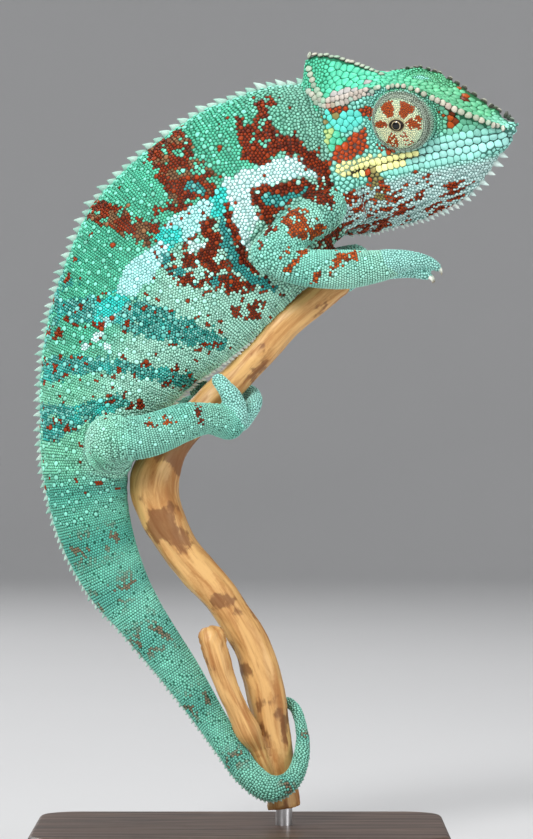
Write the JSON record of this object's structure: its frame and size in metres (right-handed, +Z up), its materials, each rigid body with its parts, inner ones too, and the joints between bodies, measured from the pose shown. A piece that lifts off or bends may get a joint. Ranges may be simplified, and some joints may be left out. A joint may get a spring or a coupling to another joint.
{
  "type": "chameleon model",
  "caption": "Life-size museum model of an adult male panther chameleon, teal with rust-red blotches, climbing a cut branch held upright on a flat display stand.",
  "frame": {"origin": "middle of the stand base's underside", "axes": "+Z up; +X the way the animal looks; +Y towards the animal's left side, so its right side faces -Y"},
  "size_m": [0.1445, 0.084, 0.2417],
  "materials": {
    "scaly_skin": "dry granular scales, teal to mint with rust-red blotches and a pale stripe, low sheen",
    "head_scales": "large plate-like scales, mint green with beige-grey beaded ridges, low sheen",
    "throat_skin": "pleated skin with fine scales, aqua-white streaked rust-red",
    "turret_skin": "fine rings of scales, cream green with orange-red patches",
    "crest_scales": "pale conical scales, slightly glossy tips",
    "claw": "pale horn, glossy",
    "eye": "wet black pupil in a thin gold ring",
    "branch_wood": "bare weathered root wood, golden tan with dark stains, matt",
    "stand_board": "black satin lacquer",
    "stand_steel": "fine brushed steel"
  },
  "bodies": {
    "root": {"head": "head_scales", "lower_jaw": "head_scales", "throat": "throat_skin", "eye_turret_right": "turret_skin", "eye_turret_left": "turret_skin", "eye_right": "eye", "eye_left": "eye", "neck": "scaly_skin", "trunk_front": "scaly_skin", "trunk_middle": "scaly_skin", "trunk_rear": "scaly_skin", "tail_1": "scaly_skin", "tail_2": "scaly_skin", "tail_3": "scaly_skin", "tail_4": "scaly_skin", "tail_5": "scaly_skin", "tail_6": "scaly_skin", "tail_7": "scaly_skin", "tail_8": "scaly_skin", "upper_arm_right": "scaly_skin", "forearm_right": "scaly_skin", "thigh_right": "scaly_skin", "shank_right": "scaly_skin", "hand_right_inner": "scaly_skin", "hand_right_outer": "scaly_skin", "foot_right_inner": "scaly_skin", "foot_right_outer": "scaly_skin", "upper_arm_left": "scaly_skin", "forearm_left": "scaly_skin", "thigh_left": "scaly_skin", "shank_left": "scaly_skin", "hand_left_inner": "scaly_skin", "hand_left_outer": "scaly_skin", "foot_left_inner": "scaly_skin", "foot_left_outer": "scaly_skin", "perch_branch": "branch_wood", "stand_base": "stand_board", "stand_rod": "stand_steel"}
  },
  "joints": []
}
